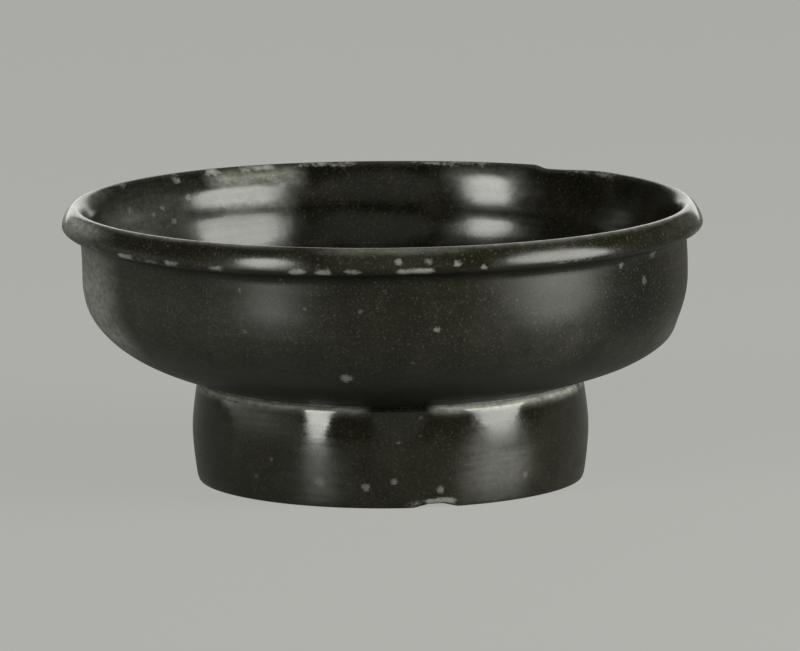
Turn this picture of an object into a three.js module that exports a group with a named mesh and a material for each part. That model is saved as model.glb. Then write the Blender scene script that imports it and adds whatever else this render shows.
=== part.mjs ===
// Footed bowl: a thrown bowl luted to a separately thrown foot, then coated with black gloss
import * as THREE from 'three';

// Sizes are in millimetres: heights count from the surface the foot rests on, drops from the rim crest
const bowlHeight = 51.9;
const rimDiameter = 120;

// Rim, a lip turned outward over the wall: insets count from its widest line
const crestInset = 2.5;
const crestReach = 1;
const lipDrop = 3.7;
const lipRise = 1.6;
const lipEdgeInset = 0.6;
const lipEdgeDrop = 4.6;
const rimOverhang = 3.25;
const rimDrop = 6.5;
const rimCove = 0.25;

// Outside of the bowl, straight under the rim and then rounded in to the foot
const wallDrop = 13.1;
const bellyPull = 12;
const jointDiameter = 71;
const jointHeight = 19.1;
const jointSlope = 0.3;
const jointPull = 12.1;

// Inside of the bowl, flared at the lip, nearly upright at the neck and rounded to the floor
const wallThickness = 2.8;
const flareDrop = 8.6;
const flarePull = 4.5;
const crestPull = 1;
const neckLength = 0.3;
const neckLean = 0.035;
const insidePull = 8.8;
const floorSpread = 43.1;
const floorThickness = 5.2;

// Underside of the floor, which hangs below the joint inside the foot
const floorHang = 6.1;

// Foot, a hollow drum with slightly swollen sides
const seatWidth = 7.5;
const shoulderReach = 0.6;
const shoulderHeight = 0.9;
const footSwell = 0.65;
const footEdgeHeight = 1.4;
const restInset = 0.9;
const restWidth = 5;

// Gloss coat, and the open line of slip left between the coats at the joint
const coatThickness = 0.3;
const jointGap = 0.25;

// Steps round the axis
const turns = 48;

const at = (r, z) => new THREE.Vector2(r, z);
const bend = (a, b, c) => new THREE.QuadraticBezierCurve(a, b, c);
const sweep = (a, b, c, d) => new THREE.CubicBezierCurve(a, b, c, d);

// Joins curves end to end into one run of points
function runOf(...stretches) {
  const points = [];
  for (const [curve, steps] of stretches) {
    const more = curve.getPoints(steps);
    points.push(...(points.length ? more.slice(1) : more));
  }
  return points;
}

// Moves a run of points sideways by an even thickness, to the right of its direction
function shifted(points, thickness) {
  return points.map((point, i) => {
    if (point.x === 0) return at(0, point.y - thickness);
    const before = points[i - 1] ?? point;
    const after = points[i + 1] ?? point;
    const into = (i ? point.clone().sub(before) : after.clone().sub(point)).normalize();
    const out = (after === point ? into.clone() : after.clone().sub(point)).normalize();
    const along = into.clone().add(out).normalize();
    const reach = thickness / along.dot(into);
    return at(point.x + along.y * reach, point.y - along.x * reach);
  });
}

// Turns an outline of radius and height round the upright axis
function turned(name, outline, material) {
  const closed = outline[0].x === 0 ? outline : [...outline, outline[0].clone()];
  const facingOut = THREE.ShapeUtils.area(outline) > 0 ? closed : [...closed].reverse();
  const geometry = new THREE.LatheGeometry(facingOut, turns);
  geometry.rotateX(Math.PI / 2);
  const mesh = new THREE.Mesh(geometry, material);
  mesh.name = name;
  return mesh;
}

const clay = new THREE.MeshStandardMaterial({ color: 0xa8957c, roughness: 0.85, metalness: 0 });
const slip = new THREE.MeshStandardMaterial({ color: 0x8f7d66, roughness: 0.9, metalness: 0 });
const gloss = new THREE.MeshStandardMaterial({ color: 0x191815, roughness: 0.3, metalness: 0 });

// Finished inside, from the middle of the floor up to the crest
const rimRadius = rimDiameter / 2;
const wallRadius = rimRadius - rimOverhang;
const crest = at(rimRadius - crestInset, bowlHeight);
const insideRadius = wallRadius - wallThickness;
const floorUnder = jointHeight - floorHang;
const floorTop = floorUnder + floorThickness;
const flareFoot = at(insideRadius, bowlHeight - flareDrop);
const neckFoot = at(flareFoot.x - neckLean * neckLength, flareFoot.y - neckLength);
const insideTurn = at(neckFoot.x - neckLean * insidePull, neckFoot.y - insidePull);
const flareTurn = at(flareFoot.x + neckLean * flarePull, flareFoot.y + flarePull);
const crestTurn = at(crest.x - crestPull, crest.y);
const inside = runOf(
  [sweep(at(0, floorTop), at(floorSpread, floorTop), insideTurn, neckFoot), 9],
  [new THREE.LineCurve(neckFoot, flareFoot), 1],
  [sweep(flareFoot, flareTurn, crestTurn, crest), 5],
);

// Finished outside, from the crest over the lip and down to the joint with the foot
const lipSide = at(rimRadius, bowlHeight - lipDrop);
const lipEdge = at(rimRadius - lipEdgeInset, bowlHeight - lipEdgeDrop);
const lipTurn = at(rimRadius, (lipSide.y + lipEdge.y) / 2);
const rimFoot = at(wallRadius, bowlHeight - rimDrop);
const rimCorner = at(wallRadius + rimCove, (lipEdge.y * 2 + rimFoot.y) / 3);
const wallFoot = at(wallRadius, bowlHeight - wallDrop);
const wallTurn = at(wallRadius, wallFoot.y - bellyPull);
const joint = at(jointDiameter / 2, jointHeight);
const jointLead = at(joint.x + jointPull, joint.y + jointPull * jointSlope);
const crestSide = at(crest.x + crestReach, crest.y);
const lipTop = at(lipSide.x, lipSide.y + lipRise);
const outside = runOf(
  [sweep(crest, crestSide, lipTop, lipSide), 5],
  [bend(lipSide, lipTurn, lipEdge), 3],
  [bend(lipEdge, rimCorner, rimFoot), 3],
  [new THREE.LineCurve(rimFoot, wallFoot), 1],
  [sweep(wallFoot, wallTurn, jointLead, joint), 8],
);

// The clay lies one coat thickness under the finished surface
const finished = [...inside, ...outside.slice(1)];
const core = shifted(finished, coatThickness);
const crestStep = inside.length - 1;
const insideCoat = [...inside, ...core.slice(0, crestStep + 1).reverse()];
const outsideCoat = [...outside, ...core.slice(crestStep).reverse()];

// The foot's seat is a cone under the bowl, with the slip spread evenly between the two
const jointClay = core[core.length - 1];
const slipThickness = coatThickness * Math.hypot(1, jointSlope) + jointGap;
const seatInside = joint.x - seatWidth;
const bowlSeat = at(seatInside, jointClay.y - jointSlope * (jointClay.x - seatInside));
const footSeat = at(seatInside, bowlSeat.y - slipThickness);
const shoulder = at(joint.x, footSeat.y + jointSlope * seatWidth);
const underside = bend(bowlSeat, at(seatInside / 2, floorUnder), at(0, floorUnder)).getPoints(4);
const bowl = [...core, ...underside];
const slipBed = [jointClay, joint, shoulder, footSeat, bowlSeat];

// Foot clay, from the edge of the seat down the side to the ring it rests on
const footShoulder = at(shoulder.x, shoulder.y - coatThickness);
const footTop = at(shoulder.x + shoulderReach, footShoulder.y - shoulderHeight);
const footEdge = at(footTop.x, footEdgeHeight);
const footTurn = at(footTop.x + footSwell * 2, (footTop.y + footEdge.y) / 2);
const sideLean = (footTurn.x - footTop.x) / (footTop.y - footTurn.y);
const shoulderTurn = at(footTop.x - sideLean * shoulderHeight, footShoulder.y);
const edgeTurn = at(footEdge.x - sideLean * footEdgeHeight, 0);
const restOuter = at(footTop.x - restInset, 0);
const restInner = at(restOuter.x - restWidth, 0);
const footSide = runOf(
  [bend(footShoulder, shoulderTurn, footTop), 3],
  [bend(footTop, footTurn, footEdge), 6],
);
const footRound = bend(footEdge, edgeTurn, restOuter).getPoints(4);
const foot = [shoulder, ...footSide, ...footRound.slice(1), restInner, footSeat];

// The foot's coat stops halfway round its lower edge, so the foot stands on bare clay
const coated = [...footSide, ...footRound.slice(1, 3)];
const coatFace = [shoulder, ...shifted(coated, -coatThickness).slice(1)];
const footCoat = [...coatFace, ...coated.reverse()];

const group = new THREE.Group();
group.name = 'footed_bowl';
group.add(
  turned('bowl_body', bowl, clay),
  turned('foot_ring', foot, clay.clone()),
  turned('luting_slip', slipBed, slip),
  turned('inside_coat', insideCoat, gloss),
  turned('outside_coat', outsideCoat, gloss.clone()),
  turned('foot_coat', footCoat, gloss.clone()),
);

export default group;
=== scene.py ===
import math

import bmesh
import bpy
import numpy as np
from mathutils import Matrix, Vector
from mathutils.geometry import interpolate_bezier


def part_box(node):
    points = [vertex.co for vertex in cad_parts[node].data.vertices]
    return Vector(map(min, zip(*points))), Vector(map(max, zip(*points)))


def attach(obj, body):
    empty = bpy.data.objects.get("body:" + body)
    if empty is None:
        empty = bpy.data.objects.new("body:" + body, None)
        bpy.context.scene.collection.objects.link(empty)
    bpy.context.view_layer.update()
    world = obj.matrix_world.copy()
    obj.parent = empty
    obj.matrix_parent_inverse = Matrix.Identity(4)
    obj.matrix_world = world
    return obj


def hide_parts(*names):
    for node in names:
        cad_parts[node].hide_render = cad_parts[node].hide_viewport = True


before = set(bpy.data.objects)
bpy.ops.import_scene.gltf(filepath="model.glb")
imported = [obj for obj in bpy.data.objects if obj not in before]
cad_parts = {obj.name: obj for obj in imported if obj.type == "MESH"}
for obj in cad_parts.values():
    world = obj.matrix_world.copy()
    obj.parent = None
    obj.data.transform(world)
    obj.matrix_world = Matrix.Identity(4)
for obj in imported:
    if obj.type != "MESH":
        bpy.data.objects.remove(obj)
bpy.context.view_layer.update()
mm = 0.001  # shapes below are written in millimetres
mergeGap = 0.001  # points closer than this many millimetres become one

bpy.context.scene.view_settings.view_transform = "Standard"


def linear(hexColour):
    # sRGB hex to the linear values that the shader takes
    channels = [int(hexColour[i:i + 2], 16) / 255 for i in (1, 3, 5)]
    return [c / 12.92 if c <= 0.04045 else ((c + 0.055) / 1.055) ** 2.4 for c in channels] + [1]


def addNode(tree, kind, settings, inputs):
    # an input is a plain value, a node whose first output is meant, or a socket
    node = tree.nodes.new("ShaderNode" + kind)
    for name, value in settings.items():
        setattr(node, name, value)
    for name, value in inputs.items():
        if isinstance(value, bpy.types.Node):
            value = value.outputs[0]
        if isinstance(value, bpy.types.NodeSocket):
            tree.links.new(value, node.inputs[name])
        else:
            node.inputs[name].default_value = value
    return node


def newMaterial(name):
    material = bpy.data.materials.new(name)
    material.use_nodes = True
    material.node_tree.nodes.clear()
    return material


def at(r, z):
    return Vector((r, 0, z))


def sweep(a, b, c, d, steps):
    return [Vector(p) for p in interpolate_bezier(a, b, c, d, steps + 1)]


def bend(a, turn, d, steps):
    return sweep(a, a.lerp(turn, 2 / 3), d.lerp(turn, 2 / 3), d, steps)


def straight(a, d, steps):
    return sweep(a, a.lerp(d, 1 / 3), a.lerp(d, 2 / 3), d, steps)


def joined(*stretches):
    run = list(stretches[0])
    for stretch in stretches[1:]:
        run += stretch[1:]
    return run


def shifted(points, thickness):
    # moves a run of points sideways by an even thickness, to the right of its direction
    moved = []
    for i, point in enumerate(points):
        before = points[max(i - 1, 0)]
        after = points[min(i + 1, len(points) - 1)]
        into = (point - before if i else after - point).normalized()
        out = (after - point if i < len(points) - 1 else into).normalized()
        along = (into + out).normalized()
        reach = thickness / along.dot(into)
        moved.append(at(point.x + along.z * reach, point.z - along.x * reach))
    if points[0].x == 0:
        moved[0] = at(0, points[0].z - thickness)
    return moved


def ease(low, high, value):
    # 0 at low, 1 at high, smooth between, for one value or a whole array
    t = np.clip((value - low) / (high - low), 0, 1)
    return t * t * (3 - 2 * t)


def hump(away, spread):
    # 1 at the middle, falling off evenly on both sides
    return np.exp(-(away / spread) ** 2)


# Form of the pot, as in the solids but for a slightly tighter lip: the boxes give the outer sizes
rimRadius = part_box("outside_coat")[1].x / mm
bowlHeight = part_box("outside_coat")[1].z / mm
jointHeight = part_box("outside_coat")[0].z / mm
rimForm = {
    "crestInset": 2.5, "crestReach": 1, "lipDrop": 3.7, "lipRise": 1.25, "edgeInset": 0.6, "edgeDrop": 4.6,
    "overhang": 3.25, "drop": 6.5, "cove": 0.25,
}
wallForm = {
    "drop": 13.1, "bellyPull": 12, "jointRadius": 35.5, "jointSlope": 0.3, "jointPull": 12.1,
}
insideForm = {
    "thickness": 2.8, "flareDrop": 8.6, "flarePull": 4.5, "crestPull": 1, "neck": 0.3, "lean": 0.035,
    "pull": 8.8, "floorSpread": 43.1, "floorThickness": 5.2, "floorHang": 6.1,
}
footForm = {
    "seatWidth": 7.5, "reach": 0.6, "shoulder": 0.9, "swell": 0.65, "edge": 1.4,
    "restInset": 0.9, "restWidth": 5,
}
coatForm = {"thickness": 0.3, "jointGap": 0.25}

# How finely the pieces are drawn: the hidden clay needs fewer steps than the gloss
glossFine = 4
clayFine = 2
glossTurns = 640  # steps round the axis
clayTurns = 160
sectors = 20
sharpAngle = 35  # degrees, edges sharper than this stay crisp

wallRadius = rimRadius - rimForm["overhang"]
crest = at(rimRadius - rimForm["crestInset"], bowlHeight)
joint = at(wallForm["jointRadius"], jointHeight)


def insideRun(fine):
    # finished inside, from the middle of the floor up to the crest
    floorTop = jointHeight - insideForm["floorHang"] + insideForm["floorThickness"]
    floorSide = at(insideForm["floorSpread"], floorTop)
    upNeck = at(insideForm["lean"], 1)  # the neck is nearly upright
    flareFoot = at(wallRadius - insideForm["thickness"], bowlHeight - insideForm["flareDrop"])
    neckFoot = flareFoot - upNeck * insideForm["neck"]
    bellyTurn = neckFoot - upNeck * insideForm["pull"]
    flareTurn = flareFoot + upNeck * insideForm["flarePull"]
    crestTurn = at(crest.x - insideForm["crestPull"], crest.z)
    return joined(
        sweep(at(0, floorTop), floorSide, bellyTurn, neckFoot, steps=11 * fine),
        straight(neckFoot, flareFoot, steps=fine),
        sweep(flareFoot, flareTurn, crestTurn, crest, steps=5 * fine),
    )


def outsideRun(fine):
    # finished outside, from the crest over the lip and down to the joint with the foot
    lipSide = at(rimRadius, bowlHeight - rimForm["lipDrop"])
    lipEdge = at(rimRadius - rimForm["edgeInset"], bowlHeight - rimForm["edgeDrop"])
    lipTurn = at(rimRadius, (lipSide.z + lipEdge.z) / 2)
    rimFoot = at(wallRadius, bowlHeight - rimForm["drop"])
    rimCorner = at(wallRadius + rimForm["cove"], (lipEdge.z * 2 + rimFoot.z) / 3)
    wallFoot = at(wallRadius, bowlHeight - wallForm["drop"])
    wallTurn = at(wallRadius, wallFoot.z - wallForm["bellyPull"])
    jointLead = at(joint.x + wallForm["jointPull"], joint.z + wallForm["jointPull"] * wallForm["jointSlope"])
    crestSide = at(crest.x + rimForm["crestReach"], crest.z)
    lipTop = at(lipSide.x, lipSide.z + rimForm["lipRise"])
    return joined(
        sweep(crest, crestSide, lipTop, lipSide, steps=5 * fine),
        bend(lipSide, lipTurn, lipEdge, steps=3 * fine),
        bend(lipEdge, rimCorner, rimFoot, steps=3 * fine),
        straight(rimFoot, wallFoot, steps=3 * fine),
        sweep(wallFoot, wallTurn, jointLead, joint, steps=9 * fine),
    )


def underRun(fine):
    # underside of the floor, from the seat in to the axis
    floorUnder = jointHeight - insideForm["floorHang"]
    return bend(bowlSeat, at(bowlSeat.x / 2, floorUnder), at(0, floorUnder), steps=8 * fine)


thickness = coatForm["thickness"]
insideClay = shifted(insideRun(clayFine), thickness)
outsideClay = shifted(outsideRun(clayFine), thickness)
crestClay = at(crest.x, crest.z - thickness)
insideClay[-1] = crestClay
outsideClay[0] = crestClay
jointClay = outsideClay[-1]
slope = wallForm["jointSlope"]
slipThickness = thickness * math.hypot(1, slope) + coatForm["jointGap"]
seatInside = joint.x - footForm["seatWidth"]
bowlSeat = at(seatInside, jointClay.z - slope * (jointClay.x - seatInside))
footSeat = at(seatInside, bowlSeat.z - slipThickness)
shoulder = at(joint.x, footSeat.z + slope * footForm["seatWidth"])


def footRun(fine):
    # foot clay, from the shoulder down the side to the ring it rests on
    start = at(shoulder.x, shoulder.z - thickness)
    top = at(shoulder.x + footForm["reach"], start.z - footForm["shoulder"])
    edge = at(top.x, footForm["edge"])
    sideTurn = at(top.x + footForm["swell"] * 2, (top.z + edge.z) / 2)
    lean = (sideTurn.x - top.x) / (top.z - sideTurn.z)
    shoulderTurn = at(top.x - lean * footForm["shoulder"], start.z)
    edgeTurn = at(edge.x - lean * footForm["edge"], 0)
    rest = at(top.x - footForm["restInset"], 0)
    side = joined(
        bend(start, shoulderTurn, top, steps=4 * fine),
        bend(top, sideTurn, edge, steps=8 * fine),
    )
    return side, bend(edge, edgeTurn, rest, steps=4 * fine)


# Hand-made forms of this pot: millimetres, turns in degrees from the front, pairs ease from nothing to all
offCentre = {"foot": 0.57, "belly": -0.77, "rim": -0.55, "bellyHeights": (24, 34), "rimHeights": (40, 52)}
wobble = {
    "depth": 0.12, "radii": (5, 30),
    "waves": [(0.6, 2, 30, 0.7), (0.4, 3, -45, 2.1)],  # share, waves round, drift with height, start
}
bellyBulge = {"depth": 0.9, "turn": 90, "spread": 50, "low": (19.8, 23), "high": (31, 26), "radii": (28, 33)}
footBulge = {"depth": 0.15, "height": 10, "spread": 4, "radii": (33, 35)}
rimChip = {"from": 149.5, "steep": 3, "to": 132, "depth": 0.6, "reach": 2.4, "radii": (50, 54)}
rimDip = {"depth": 0.25, "turn": 180, "spread": 24}
lipSag = {"depth": 0.55, "turn": -34, "spread": 30, "low": (41, 45), "high": (50, 47.5), "radii": (55, 56.5)}
neckTilt = {
    "rise": 0.05, "tilt": 0.95, "sharp": 2, "low": (34, 40), "high": (50.5, 46.5), "radii": (56.2, 54.8),
}
footChip = {"start": (6, 12), "end": (20.5, 15.5), "depth": 0.7, "heights": (2.6, 0.4), "radii": (33.6, 35.4)}


def thrown(points):
    # the lean, wobble, sag and chips of this one pot, the same for every piece
    x, y, z = points.T
    angle = np.arctan2(x, -y)
    turn = np.degrees(angle)
    radius = np.hypot(x, y)
    wander = sum(
        share * np.sin(count * angle + z / drift + start) for share, count, drift, start in wobble["waves"]
    )
    radius = radius + wobble["depth"] * wander * ease(*wobble["radii"], radius)
    # the belly is fuller low on the right, and the foot at mid height
    fuller = hump(turn - bellyBulge["turn"], bellyBulge["spread"])
    fuller = fuller * ease(*bellyBulge["low"], z) * ease(*bellyBulge["high"], z)
    radius = radius + bellyBulge["depth"] * fuller * ease(*bellyBulge["radii"], radius)
    swollen = hump(z - footBulge["height"], footBulge["spread"])
    radius = radius + footBulge["depth"] * swollen * ease(*footBulge["radii"], radius)
    # the chip behind is steep at one end and runs out at the other, and the rim is a little low there
    deepest = rimChip["from"] - rimChip["steep"]
    bite = rimChip["depth"] * ease(rimChip["from"], deepest, turn) * ease(rimChip["to"], deepest, turn)
    dip = rimDip["depth"] * hump(rimDip["turn"] - np.abs(turn), rimDip["spread"])
    nearCrest = ease(bowlHeight - rimChip["reach"], bowlHeight, z) * ease(*rimChip["radii"], radius)
    # the lip hangs lower at the front left
    sag = lipSag["depth"] * hump(turn - lipSag["turn"], lipSag["spread"])
    sag = sag * ease(*lipSag["low"], z) * ease(*lipSag["high"], z) * ease(*lipSag["radii"], radius)
    # the neck inside is not level
    neck = neckTilt["rise"] - neckTilt["tilt"] * np.tanh(neckTilt["sharp"] * np.sin(angle))
    neck = neck * ease(*neckTilt["low"], z) * ease(*neckTilt["high"], z)
    z = z - (bite + dip) * nearCrest - sag + neck * ease(*neckTilt["radii"], radius)
    # a flake is gone from the foot's lower edge
    flake = ease(*footChip["start"], turn) * ease(*footChip["end"], turn)
    z = z + footChip["depth"] * flake * ease(*footChip["heights"], z) * ease(*footChip["radii"], radius)
    shift = offCentre["foot"] + offCentre["belly"] * ease(*offCentre["bellyHeights"], z)
    shift = shift + offCentre["rim"] * ease(*offCentre["rimHeights"], z)
    return np.stack([np.sin(angle) * radius + shift, -np.cos(angle) * radius, z], 1)


# Where the coat has worn through, along an edge at a radius and height
# Each span is from and to in degrees round the bowl, and how much
lipWear = {
    "edge": (59.9, 47.95), "reach": 0.65, "soft": 0.9,
    "spans": [
        (-64.5, -60.5, 0.6), (-54.5, -50, 1), (-49, -43.5, 0.6), (-42, -38.8, 0.9), (-32, -29, 0.8),
        (-16.6, -13.6, 1.1), (-12.2, -9, 1.05), (-6.8, -3.8, 0.9), (2.2, 9.2, 1),
        (30, 40, 0.45), (70, 95, 0.5), (120, 160, 0.6), (-170, -110, 0.55),
    ],
}
crestWear = {
    "edge": (57.1, 51.6), "reach": 1.4, "soft": 2,
    "spans": [
        (-176, -163, 0.6), (-159, -151, 0.85), (-146.6, -143.4, 0.95), (-137, -134.5, 0.6), (-122, -117, 0.4),
        (128, 142, 0.55), (158, 175, 0.5),
    ],
}
footWear = {"edge": (36.3, 0.9), "reach": 0.9, "soft": 1.5, "spans": [(4, 10, 0.65), (10, 19.5, 1)]}

# Where it is only rubbed thin and dull, and where sheen, highlights and reflections are painted in as paler
# coat: the rim, then the inside, the outside and the foot
# rubbed coat along the crest, with a painted sheen on its top, strongest towards the sides
crestRubAndSheen = {
    "edge": (57.4, 51.9), "reach": 0.75, "soft": 6,
    "spans": [(-200, -110, 0.08), (-110, -20, 0.6), (-12, 16, 0.26), (12, 110, 0.44), (110, 200, 0.12)],
}
# rubbed coat and a painted highlight line on the front of the crest
frontRubAndSheen = {"edge": (58.2, 51.6), "reach": 1, "soft": 5, "spans": [(-10, 14, 0.18)]}
# painted reflection: the rim's outer ends made pale as if catching the bright surroundings at a grazing angle
tipPaintedReflection = {"edge": (58.8, 50.6), "reach": 2.1, "soft": 12, "spans": [(-110, -66, 0.85), (70, 110, 0.1)]}
# painted reflection on the rim's top at its ends
endPaintedReflection = {"edge": (57, 51.2), "reach": 1.4, "soft": 8, "spans": [(-96, -70, 0.45), (76, 100, 0.08)]}
# rubbed coat inside the flare at the back left, with a painted sheen spreading the highlight there
flareRubAndSheen = {"edge": (55.4, 49.4), "reach": 2.2, "soft": 3, "spans": [(-163, -144, 0.4), (151, 166, 0.12)]}
# painted highlight across the neck, between the two highlights inside
neckPaintedHighlight = {"edge": (54, 44), "reach": 1.7, "soft": 4, "spans": [(-160, -143, 0.22)]}
# painted sheen: a faint lightening of the inside on the left
insidePaintedSheen = {"edge": (54, 43.5), "reach": 6, "soft": 12, "spans": [(-140, -104, 0.09)]}
# painted reflection: a pale band along the wall's left edge, and a faint one further round to the front
wallPaintedReflection = {"edge": (56.8, 36), "reach": 11, "soft": 8, "spans": [(-112, -64, 0.47), (-75, -22, 0.035)]}
# painted reflection of the floor: a faint lightening over the belly
bellyPaintedReflection = {"edge": (52, 28), "reach": 9, "soft": 25, "spans": [(-125, 30, 0.025), (-75, -25, 0.035)]}
# painted reflection along the lower left edge of the belly
leftPaintedReflection = {"edge": (54.5, 30), "reach": 4.5, "soft": 7, "spans": [(-112, -61, 0.5)]}
# painted reflection, faint, along the wall's right edge
rightPaintedReflection = {"edge": (52.5, 28.5), "reach": 4.5, "soft": 8, "spans": [(48, 64, 0.035), (68, 112, 0.09)]}
# painted highlight along the foot's rounded shoulder, with some rubbed coat
shoulderRubAndHighlight = {
    "edge": (36.1, 18.6), "reach": 0.85, "soft": 3,
    "spans": [
        (-100, -8, 0.42), (13, 75, 0.95), (13, 17, 1), (75, 110, 0.5), (130, 170, 0.4), (-170, -120, 0.4),
    ],
}
# painted highlight: the tail of the foot's right highlight, low down
footPaintedHighlight = {"edge": (36.9, 7), "reach": 5, "soft": 6, "spans": [(22, 42, 0.12)]}

# Painted shade: a deeper black on the right of the wall, standing in for the darker reflections there
wallPaintedShade = {"edge": (56.8, 38), "reach": 12, "soft": 10, "spans": [(44, 66, 0.85)]}


def nearLines(points, lines):
    # how close each point lies to the lines, 1 on them, times how much each stretch is worn
    x, y, z = points.T
    turn = np.degrees(np.arctan2(x, -y))
    worn = np.zeros(len(points))
    for line in lines:
        soft = line["soft"]
        away = np.hypot(np.hypot(x, y) - line["edge"][0], z - line["edge"][1])
        near = hump(away, line["reach"])
        for start, end, much in line["spans"]:
            along = ease(start - soft, start + soft, turn) * ease(end + soft, end - soft, turn)
            worn = np.maximum(worn, much * along * near)
    return worn


# What every spin shares: it runs round the upright axis
upright = {
    "cent": (0, 0, 0), "axis": (0, 0, 1), "dvec": (0, 0, 0), "space": Matrix(), "use_normal_flip": False,
}


def spun(name, outline, steps, worn=(), rubbedAndSheen=(), paintedShadeLines=()):
    # turns an outline round the upright axis and gives the piece its hand-thrown form
    bm = bmesh.new()
    corners = [bm.verts.new(p) for p in outline]
    onAxis = outline[0].x == 0 and outline[-1].x == 0
    for a, b in zip(corners, corners[1:] + ([] if onAxis else corners[:1])):
        bm.edges.new((a, b))
    # one sector is spun, then copied round and merged: far quicker than one long spin
    sector = 2 * math.pi / sectors
    bmesh.ops.spin(
        bm, geom=bm.verts[:] + bm.edges[:], angle=sector, steps=steps // sectors,
        use_merge=False, use_duplicate=False, **upright,
    )
    bmesh.ops.spin(
        bm, geom=bm.verts[:] + bm.edges[:] + bm.faces[:], angle=2 * math.pi - sector, steps=sectors - 1,
        use_merge=False, use_duplicate=True, **upright,
    )
    bmesh.ops.remove_doubles(bm, verts=bm.verts[:], dist=mergeGap)
    bmesh.ops.recalc_face_normals(bm, faces=bm.faces[:])
    mesh = bpy.data.meshes.new(name)
    bm.to_mesh(mesh)
    bm.free()
    flat = np.zeros(len(mesh.vertices) * 3)
    mesh.vertices.foreach_get("co", flat)
    points = flat.reshape(-1, 3)
    for label, lines in (("wear", worn), ("rubAndSheen", rubbedAndSheen), ("paintedShade", paintedShadeLines)):
        if lines:
            mesh.attributes.new(label, "FLOAT", "POINT").data.foreach_set("value", nearLines(points, lines))
    mesh.vertices.foreach_set("co", (thrown(points) * mm).ravel())
    mesh.shade_smooth()
    mesh.set_sharp_from_angle(angle=math.radians(sharpAngle))
    mesh.update()
    piece = bpy.data.objects.new(name, mesh)
    bpy.context.scene.collection.objects.link(piece)
    print(name, len(mesh.polygons), "faces")
    return piece


# What the three coats share: sizes in millimetres, and the noise levels at which each change begins and ends
glossSet = {
    # the deepest black paints shade onto the coat
    "paintedShadeBlack": "#050501",
    "ragged": 1.1, "shake": 1.2,  # grain of the torn edges, and how far it pulls them about
    "ringDraw": 0.03, "streak": 0.9, "streakDraw": 0.3,  # a draw below 1 stretches the noise round the pot
    "spotDepth": 3, "spotFray": 0.9, "spotEdge": (0.5, 1.25), "spotGain": 1.4,
    "wearFray": 1.2, "wearEdge": (1.5, 2.3), "wearMost": 0.75,
    "thinEdge": (0.85, 1.25), "rubAndSheenEdge": (0.75, 1.25), "rubAndSheenShare": (0.45, 1.15), "polishEdge": (0.7, 1.3),
    "bareRoughness": 0.85, "bareDepth": 0.03, "wheelTurn": 0.25,
}


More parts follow.
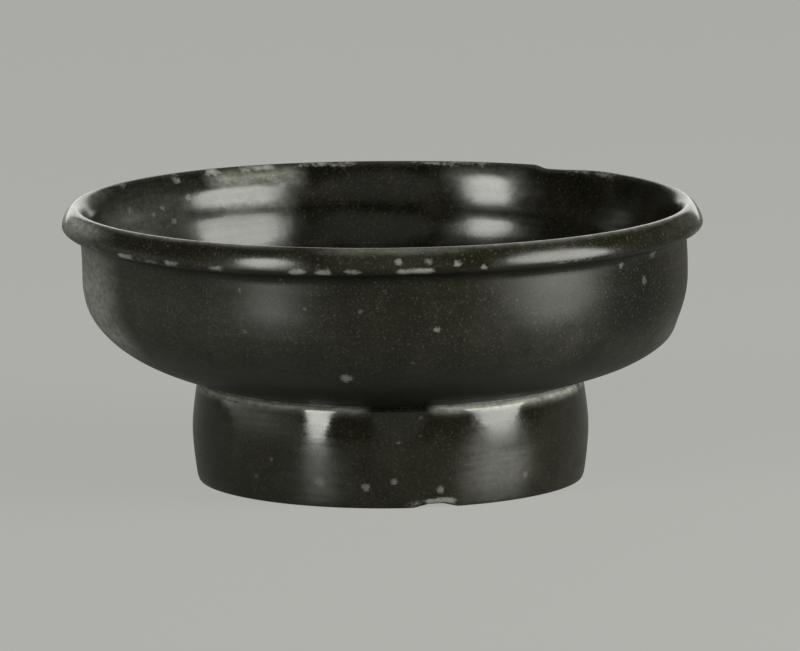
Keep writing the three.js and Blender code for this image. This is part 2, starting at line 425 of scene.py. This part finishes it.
def blackGloss(name, look):
    # fired iron-rich slip: a thin black skin, glassy where thick, browner where thin, worn to pale clay
    material = newMaterial(name)
    tree = material.node_tree
    coords = addNode(tree, "TexCoord", {}, {}).outputs["Object"]
    height = addNode(tree, "SeparateXYZ", {}, {"Vector": coords}).outputs["Z"]
    mottle = addNode(tree, "TexNoise", {}, {
        "Vector": coords, "Scale": 1 / (look["mottle"] * mm), "Detail": 4})
    grain = addNode(tree, "TexNoise", {}, {
        "Vector": coords, "Scale": 1 / (look["grain"] * mm), "Detail": 2})
    # throwing rings: noise drawn out round the pot
    drawnOut = addNode(tree, "Mapping", {}, {
        "Vector": coords, "Scale": (glossSet["ringDraw"], glossSet["ringDraw"], 1)})
    rings = addNode(tree, "TexNoise", {}, {
        "Vector": drawnOut, "Scale": 1 / (look["rings"] * mm), "Detail": 3})
    dents = addNode(tree, "TexNoise", {}, {
        "Vector": coords, "Scale": 1 / (look["dents"] * mm), "Detail": 2})

    # spots where the coat is gone, with ragged edges
    ragged = addNode(tree, "TexNoise", {}, {
        "Vector": coords, "Scale": 1 / (glossSet["ragged"] * mm), "Detail": 4, "Roughness": 0.65})
    shake = addNode(tree, "VectorMath", {"operation": "MULTIPLY_ADD"}, {
        0: ragged.outputs["Color"], 1: [glossSet["shake"] * mm] * 3, 2: coords})
    low, high = glossSet["spotEdge"]
    spots = None
    for turn, up, radius, width, tall, much in look["spots"]:
        angle = math.radians(turn)
        onCoat = np.array([[math.sin(angle) * radius, -math.cos(angle) * radius, up]])
        middle = Vector(thrown(onCoat)[0] + glossSet["shake"] / 2) * mm
        centred = addNode(tree, "Mapping", {"vector_type": "TEXTURE"}, {
            "Vector": shake, "Location": middle, "Rotation": (0, 0, angle),
            "Scale": (width * mm, glossSet["spotDepth"] * mm, tall * mm)})
        ball = addNode(tree, "TexGradient", {"gradient_type": "SPHERICAL"}, {"Vector": centred})
        frayed = addNode(tree, "Math", {"operation": "MULTIPLY_ADD"}, {
            0: grain, 1: glossSet["spotFray"], 2: ball.outputs["Fac"]})
        spot = addNode(tree, "MapRange", {"interpolation_type": "SMOOTHSTEP"}, {
            "Value": frayed, "From Min": low, "From Max": high, "To Max": much * glossSet["spotGain"]})
        spots = addNode(tree, "Math", {"operation": "MAXIMUM"}, {0: spots, 1: spot}) if spots else spot

    # worn edges, in streaks that run round the pot
    wear = addNode(tree, "Attribute", {"attribute_name": "wear"}, {}).outputs["Fac"]
    dragged = addNode(tree, "Mapping", {}, {
        "Vector": coords, "Scale": (glossSet["streakDraw"], glossSet["streakDraw"], 1)})
    streaks = addNode(tree, "TexNoise", {}, {
        "Vector": dragged, "Scale": 1 / (glossSet["streak"] * mm), "Detail": 4, "Roughness": 0.6})
    uneven = addNode(tree, "Math", {"operation": "ADD"}, {0: streaks, 1: ragged})
    broken = addNode(tree, "Math", {"operation": "MULTIPLY_ADD"}, {
        0: uneven, 1: glossSet["wearFray"], 2: wear})
    low, high = glossSet["wearEdge"]
    worn = addNode(tree, "MapRange", {"interpolation_type": "SMOOTHSTEP"}, {
        "Value": broken, "From Min": low, "From Max": high, "To Max": glossSet["wearMost"]})
    bare = addNode(tree, "Math", {"operation": "MAXIMUM"}, {0: worn, 1: spots})

    # black where thick, browner where thin, deeper black where shade is painted, grey where rubbed and where
    # sheen is painted, clay where gone
    speckle = addNode(tree, "Math", {"operation": "ADD"}, {0: mottle, 1: grain})
    low, high = glossSet["thinEdge"]
    thin = addNode(tree, "MapRange", {}, {"Value": speckle, "From Min": low, "From Max": high})
    skin = addNode(tree, "Mix", {"data_type": "RGBA"}, {
        0: thin, 6: linear(look["black"]), 7: linear(look["brown"])}).outputs[2]
    # painted shade: the coat is mixed towards a deeper black where the wall's reflections are darker
    paintedShade = addNode(tree, "Attribute", {"attribute_name": "paintedShade"}, {}).outputs["Fac"]
    black = addNode(tree, "Mix", {"data_type": "RGBA"}, {
        0: paintedShade, 6: skin, 7: linear(glossSet["paintedShadeBlack"])}).outputs[2]
    # paler where the coat is rubbed, and where sheen, highlights and reflections are painted
    rubAndSheen = addNode(tree, "Attribute", {"attribute_name": "rubAndSheen"}, {}).outputs["Fac"]
    low, high = glossSet["rubAndSheenEdge"]
    least, most = glossSet["rubAndSheenShare"]
    patchy = addNode(tree, "MapRange", {}, {
        "Value": uneven, "From Min": low, "From Max": high, "To Min": least, "To Max": most})
    rubbedAndSheen = addNode(tree, "Math", {"operation": "MULTIPLY"}, {0: rubAndSheen, 1: patchy})
    dullAndSheen = addNode(tree, "Mix", {"data_type": "RGBA"}, {
        0: rubbedAndSheen, 6: black, 7: linear(look["rubbedAndSheen"])}).outputs[2]
    colour = addNode(tree, "Mix", {"data_type": "RGBA"}, {
        0: bare, 6: dullAndSheen, 7: linear(look["clay"])}).outputs[2]

    # glassy high on the piece, duller below, rough where the coat is gone
    zone = addNode(tree, "MapRange", {"interpolation_type": "SMOOTHSTEP"}, {
        "Value": height, "From Min": look["dullFrom"] * mm, "From Max": look["dullTo"] * mm,
        "To Min": look["dullRoughness"], "To Max": look["glossRoughness"]})
    patches = addNode(tree, "Math", {"operation": "ADD"}, {0: mottle, 1: rings})
    low, high = glossSet["polishEdge"]
    polished = addNode(tree, "MapRange", {}, {
        "Value": patches, "From Min": low, "From Max": high,
        "To Min": -look["unevenness"], "To Max": look["unevenness"]})
    polish = addNode(tree, "Math", {"operation": "ADD"}, {0: zone, 1: polished})
    roughness = addNode(tree, "Mix", {}, {0: bare, 2: polish, 3: glossSet["bareRoughness"]})

    # surface relief in metres: rings, fine grain, dents, and a step down where the coat is gone
    ringRelief = addNode(tree, "Math", {"operation": "MULTIPLY"}, {0: rings, 1: look["ringDepth"] * mm})
    grainRelief = addNode(tree, "Math", {"operation": "MULTIPLY_ADD"}, {
        0: grain, 1: look["grainDepth"] * mm, 2: ringRelief})
    dentRelief = addNode(tree, "Math", {"operation": "MULTIPLY_ADD"}, {
        0: dents, 1: look["dentDepth"] * mm, 2: grainRelief})
    relief = addNode(tree, "Math", {"operation": "MULTIPLY_ADD"}, {
        0: bare, 1: -glossSet["bareDepth"] * mm, 2: dentRelief})
    bump = addNode(tree, "Bump", {}, {"Height": relief, "Distance": 1, "Strength": 1})
    # wheel marks too fine to draw spread the gloss up and down, across their run
    around = addNode(tree, "Tangent", {"direction_type": "RADIAL", "axis": "Z"}, {})
    shader = addNode(tree, "BsdfPrincipled", {}, {
        "Base Color": colour, "Roughness": roughness, "IOR": look["ior"], "Normal": bump, "Tangent": around,
        "Anisotropic": look["anisotropy"], "Anisotropic Rotation": glossSet["wheelTurn"]})
    addNode(tree, "OutputMaterial", {}, {"Surface": shader})
    return material


# Looks of the coats: pattern sizes, depths and heights in millimetres
# The real grain is too fine to show at this size, so it is drawn coarser
outsideLook = {
    # the rubbed colour also paints sheen, highlights and reflections on the outside
    "black": "#19180f", "brown": "#26241b", "rubbedAndSheen": "#c0c0b8", "clay": "#9b9c95",
    "mottle": 7, "grain": 0.45, "grainDepth": 0.002, "rings": 1.6, "ringDepth": 0.012,
    "dents": 4, "dentDepth": 0.02,
    "glossRoughness": 0.165, "dullRoughness": 0.38, "dullFrom": 46.8, "dullTo": 50.4,
    "unevenness": 0.06, "anisotropy": 0.72, "ior": 1.45,
    # degrees round, height, radius there, half width, half height, strength
    "spots": [
        (2.8, 49.6, 59.7, 0.9, 0.8, 0.35), (8.2, 49.7, 59.6, 0.9, 0.7, 0.25),
        (13.2, 49, 59.9, 0.9, 0.9, 0.38), (17.8, 48.1, 60, 0.9, 0.8, 0.35),
        (50.2, 45.1, 56.8, 1.1, 0.8, 0.2), (60.8, 46, 56.9, 1.7, 1.1, 0.2),
        (57.4, 41.4, 56.8, 1.2, 1.3, 0.14), (9.4, 36.6, 56.6, 0.9, 0.9, 0.35),
        (-8.6, 27, 52.1, 1.6, 1.4, 0.7), (-27, 35.7, 56.5, 0.6, 0.6, 0.12),
        (-27.8, 43.6, 56.8, 0.4, 0.7, 0.15), (-19.2, 46.1, 56.9, 0.5, 0.5, 0.2),
        (-15, 40.3, 56.8, 0.6, 0.5, 0.18), (-4.6, 40.1, 56.8, 0.6, 0.6, 0.15),
        (5, 30.3, 54.6, 0.5, 0.5, 0.1),
    ],
}
insideLook = {
    # the rubbed colour also paints sheen and highlight inside
    "black": "#0c0b04", "brown": "#1d1b13", "rubbedAndSheen": "#c0c0b8", "clay": "#9b9c95",
    "mottle": 6, "grain": 0.45, "grainDepth": 0.0015, "rings": 1.8, "ringDepth": 0.014,
    "dents": 5, "dentDepth": 0.035,
    "glossRoughness": 0.21, "dullRoughness": 0.21, "dullFrom": 44, "dullTo": 47,  # even all over
    "unevenness": 0.05, "anisotropy": 0.5, "ior": 1.5,
    "spots": [
        (-118, 46, 54.3, 1.9, 1.1, 0.1), (-126, 44.3, 54, 1, 0.9, 0.12),
        (-129, 45.3, 54.2, 1, 0.8, 0.14), (-132, 42.5, 53.9, 1.2, 0.9, 0.14),
        (-136.8, 46.5, 54.4, 1.1, 0.8, 0.16), (-135.8, 50.6, 56.1, 1.3, 0.8, 0.25),
        (-159.6, 47.5, 54.7, 1.1, 1, 0.12),
    ],
}
footLook = {
    # the rubbed colour also paints the highlight along the shoulder and on the foot
    "black": "#19180f", "brown": "#26241b", "rubbedAndSheen": "#c8c8c0", "clay": "#9b9c95",
    "mottle": 6, "grain": 0.45, "grainDepth": 0.002, "rings": 1.6, "ringDepth": 0.012,
    "dents": 4, "dentDepth": 0.03,
    "glossRoughness": 0.115, "dullRoughness": 0.34, "dullFrom": 5, "dullTo": 16.5,
    "unevenness": 0.06, "anisotropy": 0.85, "ior": 1.5,
    "spots": [
        (-7.3, 4.2, 36.6, 1.1, 1, 0.25), (0.8, 5.2, 36.8, 1, 0.9, 0.25),
        (14.3, 3.4, 36.5, 1, 1, 0.28), (-20.8, 5, 36.8, 1.8, 1.3, 0.1),
        (-48.5, 16.6, 36.4, 0.6, 0.9, 0.15), (-36.5, 8.5, 37, 0.7, 0.7, 0.12),
        (2.2, 12.6, 36.9, 0.6, 0.6, 0.12), (8.8, 16.9, 36.3, 0.7, 0.5, 0.12),
        (-42.5, 4.9, 36.7, 0.8, 0.8, 0.1), (42.4, 4.7, 36.8, 0.9, 0.9, 0.1),
    ],
}
clayLook = {
    "pale": "#b5a68f", "dark": "#94846d", "cloud": 8, "cloudEdge": (0.35, 0.65),
    "grit": 0.8, "gritDepth": 0.02, "rings": 1.5, "ringDepth": 0.03, "roughness": 0.9, "ior": 1.5,
}


def firedClay(name, look):
    # bare fired clay: dull, warm, sandy, with fine rings from the turning tool
    material = newMaterial(name)
    tree = material.node_tree
    coords = addNode(tree, "TexCoord", {}, {}).outputs["Object"]
    cloud = addNode(tree, "TexNoise", {}, {
        "Vector": coords, "Scale": 1 / (look["cloud"] * mm), "Detail": 6})
    grit = addNode(tree, "TexNoise", {}, {
        "Vector": coords, "Scale": 1 / (look["grit"] * mm), "Detail": 3})
    # rings follow the distance from the axis and the height
    across = addNode(tree, "SeparateXYZ", {}, {"Vector": coords})
    flat = addNode(tree, "CombineXYZ", {}, {"X": across.outputs["X"], "Y": across.outputs["Y"]})
    radius = addNode(tree, "VectorMath", {"operation": "LENGTH"}, {0: flat}).outputs["Value"]
    ringCoords = addNode(tree, "CombineXYZ", {}, {"X": radius, "Z": across.outputs["Z"]})
    rings = addNode(tree, "TexNoise", {}, {
        "Vector": ringCoords, "Scale": 1 / (look["rings"] * mm), "Detail": 2})
    low, high = look["cloudEdge"]
    tone = addNode(tree, "MapRange", {}, {"Value": cloud, "From Min": low, "From Max": high})
    colour = addNode(tree, "Mix", {"data_type": "RGBA"}, {
        0: tone, 6: linear(look["dark"]), 7: linear(look["pale"])}).outputs[2]
    ringRelief = addNode(tree, "Math", {"operation": "MULTIPLY"}, {0: rings, 1: look["ringDepth"] * mm})
    relief = addNode(tree, "Math", {"operation": "MULTIPLY_ADD"}, {
        0: grit, 1: look["gritDepth"] * mm, 2: ringRelief})
    bump = addNode(tree, "Bump", {}, {"Height": relief, "Distance": 1, "Strength": 1})
    shader = addNode(tree, "BsdfPrincipled", {}, {
        "Base Color": colour, "Roughness": look["roughness"], "IOR": look["ior"], "Normal": bump})
    addNode(tree, "OutputMaterial", {}, {"Surface": shader})
    return material


def place(piece, node, material):
    piece.data.materials.append(material)
    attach(piece, "root")
    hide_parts(node)


rimRubsAndSheen = [crestRubAndSheen, frontRubAndSheen, tipPaintedReflection, endPaintedReflection]
outsideGloss = spun(
    "outsideGloss", outsideRun(glossFine) + outsideClay[::-1], glossTurns,
    worn=[lipWear, crestWear], rubbedAndSheen=rimRubsAndSheen + [wallPaintedReflection, bellyPaintedReflection, leftPaintedReflection, rightPaintedReflection], paintedShadeLines=[wallPaintedShade],
)
place(outsideGloss, "outside_coat", blackGloss("blackGlossOutside", outsideLook))
insideGloss = spun(
    "insideGloss", insideRun(glossFine) + insideClay[::-1], glossTurns,
    worn=[crestWear], rubbedAndSheen=rimRubsAndSheen + [flareRubAndSheen, neckPaintedHighlight, insidePaintedSheen],
)
place(insideGloss, "inside_coat", blackGloss("blackGlossInside", insideLook))

footSide, footRound = footRun(glossFine)
coated = joined(footSide, footRound[:len(footRound) // 2 + 1])  # the coat stops halfway round the lower edge
coatFace = shifted(coated, -thickness)
coatFace[0] = joint  # the gloss runs up into the joint
footGloss = spun(
    "footGloss", coatFace + coated[::-1], glossTurns, worn=[footWear], rubbedAndSheen=[shoulderRubAndHighlight, footPaintedHighlight],
)
place(footGloss, "foot_coat", blackGloss("blackGlossFoot", footLook))

bareClay = firedClay("firedBuffClay", clayLook)
bowlClay = spun("bowlClay", insideClay + outsideClay[1:] + underRun(clayFine), clayTurns)
place(bowlClay, "bowl_body", bareClay)
restInner = at(footRound[-1].x - footForm["restWidth"], 0)
footClay = spun("footClay", [shoulder] + joined(footSide, footRound) + [restInner, footSeat], clayTurns)
place(footClay, "foot_ring", bareClay)
slipBed = spun("slipBed", [jointClay, joint, shoulder, footSeat, bowlSeat], clayTurns)
place(slipBed, "luting_slip", bareClay)
print("pot built")

# Camera, a long lens a little above the rim: millimetres, and degrees of roll
cameraSet = {"back": 1881.6, "up": 324.9, "lens": 457.35, "sensor": 36, "aim": (2.5, 0, 28.58), "roll": 0.447}
cameraData = bpy.data.cameras.new("camera")
cameraData.lens = cameraSet["lens"]
cameraData.sensor_width = cameraSet["sensor"]
camera = bpy.data.objects.new("camera", cameraData)
camera.location = Vector((0, -cameraSet["back"], cameraSet["up"])) * mm
looking = Vector(cameraSet["aim"]) * mm - camera.location
rolled = Matrix.Rotation(-math.radians(cameraSet["roll"]), 3, "Z").to_quaternion()
camera.rotation_mode = "QUATERNION"
camera.rotation_quaternion = looking.to_track_quat("-Z", "Y") @ rolled
bpy.context.scene.collection.objects.link(camera)
bpy.context.scene.camera = camera

# Stage: a round floor, and a backdrop standing far behind the object
stageSet = {"radius": 3000, "back": 3000, "high": 2600, "spread": 40, "steps": 96, "middle": 1200}
floorLook = {"colour": "#b3b4af", "glow": 0.86, "mirrored": 0.34}
backLook = {"colour": "#f2f2ee", "glow": 0.95, "mirrored": 1.6}


def stagePiece(name, line, start, spread):
    # turns a line round the upright axis through an angle, facing the middle of the stage
    bm = bmesh.new()
    verts = [bm.verts.new(p * mm) for p in line]
    for a, b in zip(verts, verts[1:]):
        bm.edges.new((a, b))
    bmesh.ops.rotate(bm, verts=verts, cent=(0, 0, 0), matrix=Matrix.Rotation(math.radians(start), 3, "Z"))
    bmesh.ops.spin(
        bm, geom=bm.verts[:] + bm.edges[:], angle=math.radians(spread), steps=stageSet["steps"],
        use_merge=spread == 360, use_duplicate=False, **upright,
    )
    bmesh.ops.remove_doubles(bm, verts=bm.verts[:], dist=mergeGap * mm)
    bmesh.ops.recalc_face_normals(bm, faces=bm.faces[:])
    mesh = bpy.data.meshes.new(name)
    bm.to_mesh(mesh)
    bm.free()
    inward = Vector((0, 0, stageSet["middle"] * mm)) - mesh.polygons[0].center
    if mesh.polygons[0].normal.dot(inward) < 0:
        mesh.flip_normals()
    mesh.shade_smooth()
    piece = bpy.data.objects.new(name, mesh)
    bpy.context.scene.collection.objects.link(piece)
    return piece


def paper(name, look):
    # plain paper: part of its tone is its own, so that it stays even, and the rest takes light and shadow
    material = newMaterial(name)
    tree = material.node_tree
    glow = look["glow"]
    rays = addNode(tree, "LightPath", {}, {})
    seen = addNode(tree, "Math", {"operation": "MULTIPLY_ADD"}, {
        0: rays.outputs["Is Glossy Ray"], 1: look["mirrored"], 2: rays.outputs["Is Camera Ray"]})
    seen = addNode(tree, "Math", {"operation": "ADD"}, {0: seen, 1: rays.outputs["Is Transmission Ray"]})
    strength = addNode(tree, "Math", {"operation": "MULTIPLY"}, {0: seen, 1: glow})
    colour = linear(look["colour"])
    own = addNode(tree, "Emission", {}, {"Color": colour, "Strength": strength})
    matt = addNode(tree, "BsdfDiffuse", {}, {"Color": [c * (1 - glow) for c in colour[:3]] + [1]})
    both = addNode(tree, "AddShader", {}, {0: own, 1: matt})
    # clear from behind, so that views from below see the pot
    under = addNode(tree, "NewGeometry", {}, {}).outputs["Backfacing"]
    clear = addNode(tree, "BsdfTransparent", {}, {})
    surface = addNode(tree, "MixShader", {}, {0: under, 1: both, 2: clear})
    addNode(tree, "OutputMaterial", {}, {"Surface": surface})
    return material


floor = stagePiece("floor", [at(0, 0), at(stageSet["radius"], 0)], start=0, spread=360)
floor.data.materials.append(paper("greyFloorPaper", floorLook))
backdrop = stagePiece(
    "backdrop", [at(stageSet["back"], 0), at(stageSet["back"], stageSet["high"])],
    start=90 - stageSet["spread"] / 2, spread=stageSet["spread"],
)
backdrop.data.materials.append(paper("whiteBackPaper", backLook))

# Lights: a bright soft panel to the left and one to the right, and dim ones that fill the rest
# Turn is in degrees from the front, other sizes in millimetres
panels = {
    "frontFill": {"turn": 5, "away": 1400, "wide": 1300, "low": 10, "high": 1700, "radiance": 0.27},
    "sideFill": {"turn": 112, "away": 1400, "wide": 1200, "low": 10, "high": 900, "radiance": 0.085},
    "leftStrip": {"turn": -85, "away": 1400, "wide": 1900, "low": 5, "high": 110, "radiance": 1.2},
    "leftPanel": {"turn": -43.6, "away": 2400, "wide": 830, "low": 20, "high": 1780, "radiance": 12.4},
    "rightPanel": {"turn": 66.2, "away": 600, "wide": 467, "low": 7, "high": 513, "radiance": 9.8},
}
lampColour = "#fdfff6"
for name, panel in panels.items():
    lamp = bpy.data.lights.new(name, "AREA")
    lamp.shape = "ELLIPSE"
    lamp.color = linear(lampColour)[:3]
    lamp.size = panel["wide"] * mm
    lamp.size_y = (panel["high"] - panel["low"]) * mm
    # power is the radiance times pi times the area of the ellipse
    lamp.energy = panel["radiance"] * math.pi * lamp.size * lamp.size_y * math.pi / 4
    light = bpy.data.objects.new(name, lamp)
    turn = math.radians(panel["turn"])
    out = Vector((math.sin(turn), -math.cos(turn), 0))
    light.location = (out * panel["away"] + Vector((0, 0, (panel["low"] + panel["high"]) / 2))) * mm
    light.rotation_mode = "QUATERNION"
    light.rotation_quaternion = (-out).to_track_quat("-Z", "Y")
    light.visible_camera = False
    bpy.context.scene.collection.objects.link(light)

roomLook = {"colour": "#ffffff", "strength": 0.03}
world = bpy.data.worlds.new("darkRoom")
world.use_nodes = True
room = world.node_tree.nodes["Background"]
room.inputs["Color"].default_value = linear(roomLook["colour"])
room.inputs["Strength"].default_value = roomLook["strength"]
bpy.context.scene.world = world
print("stage, lights and camera set")
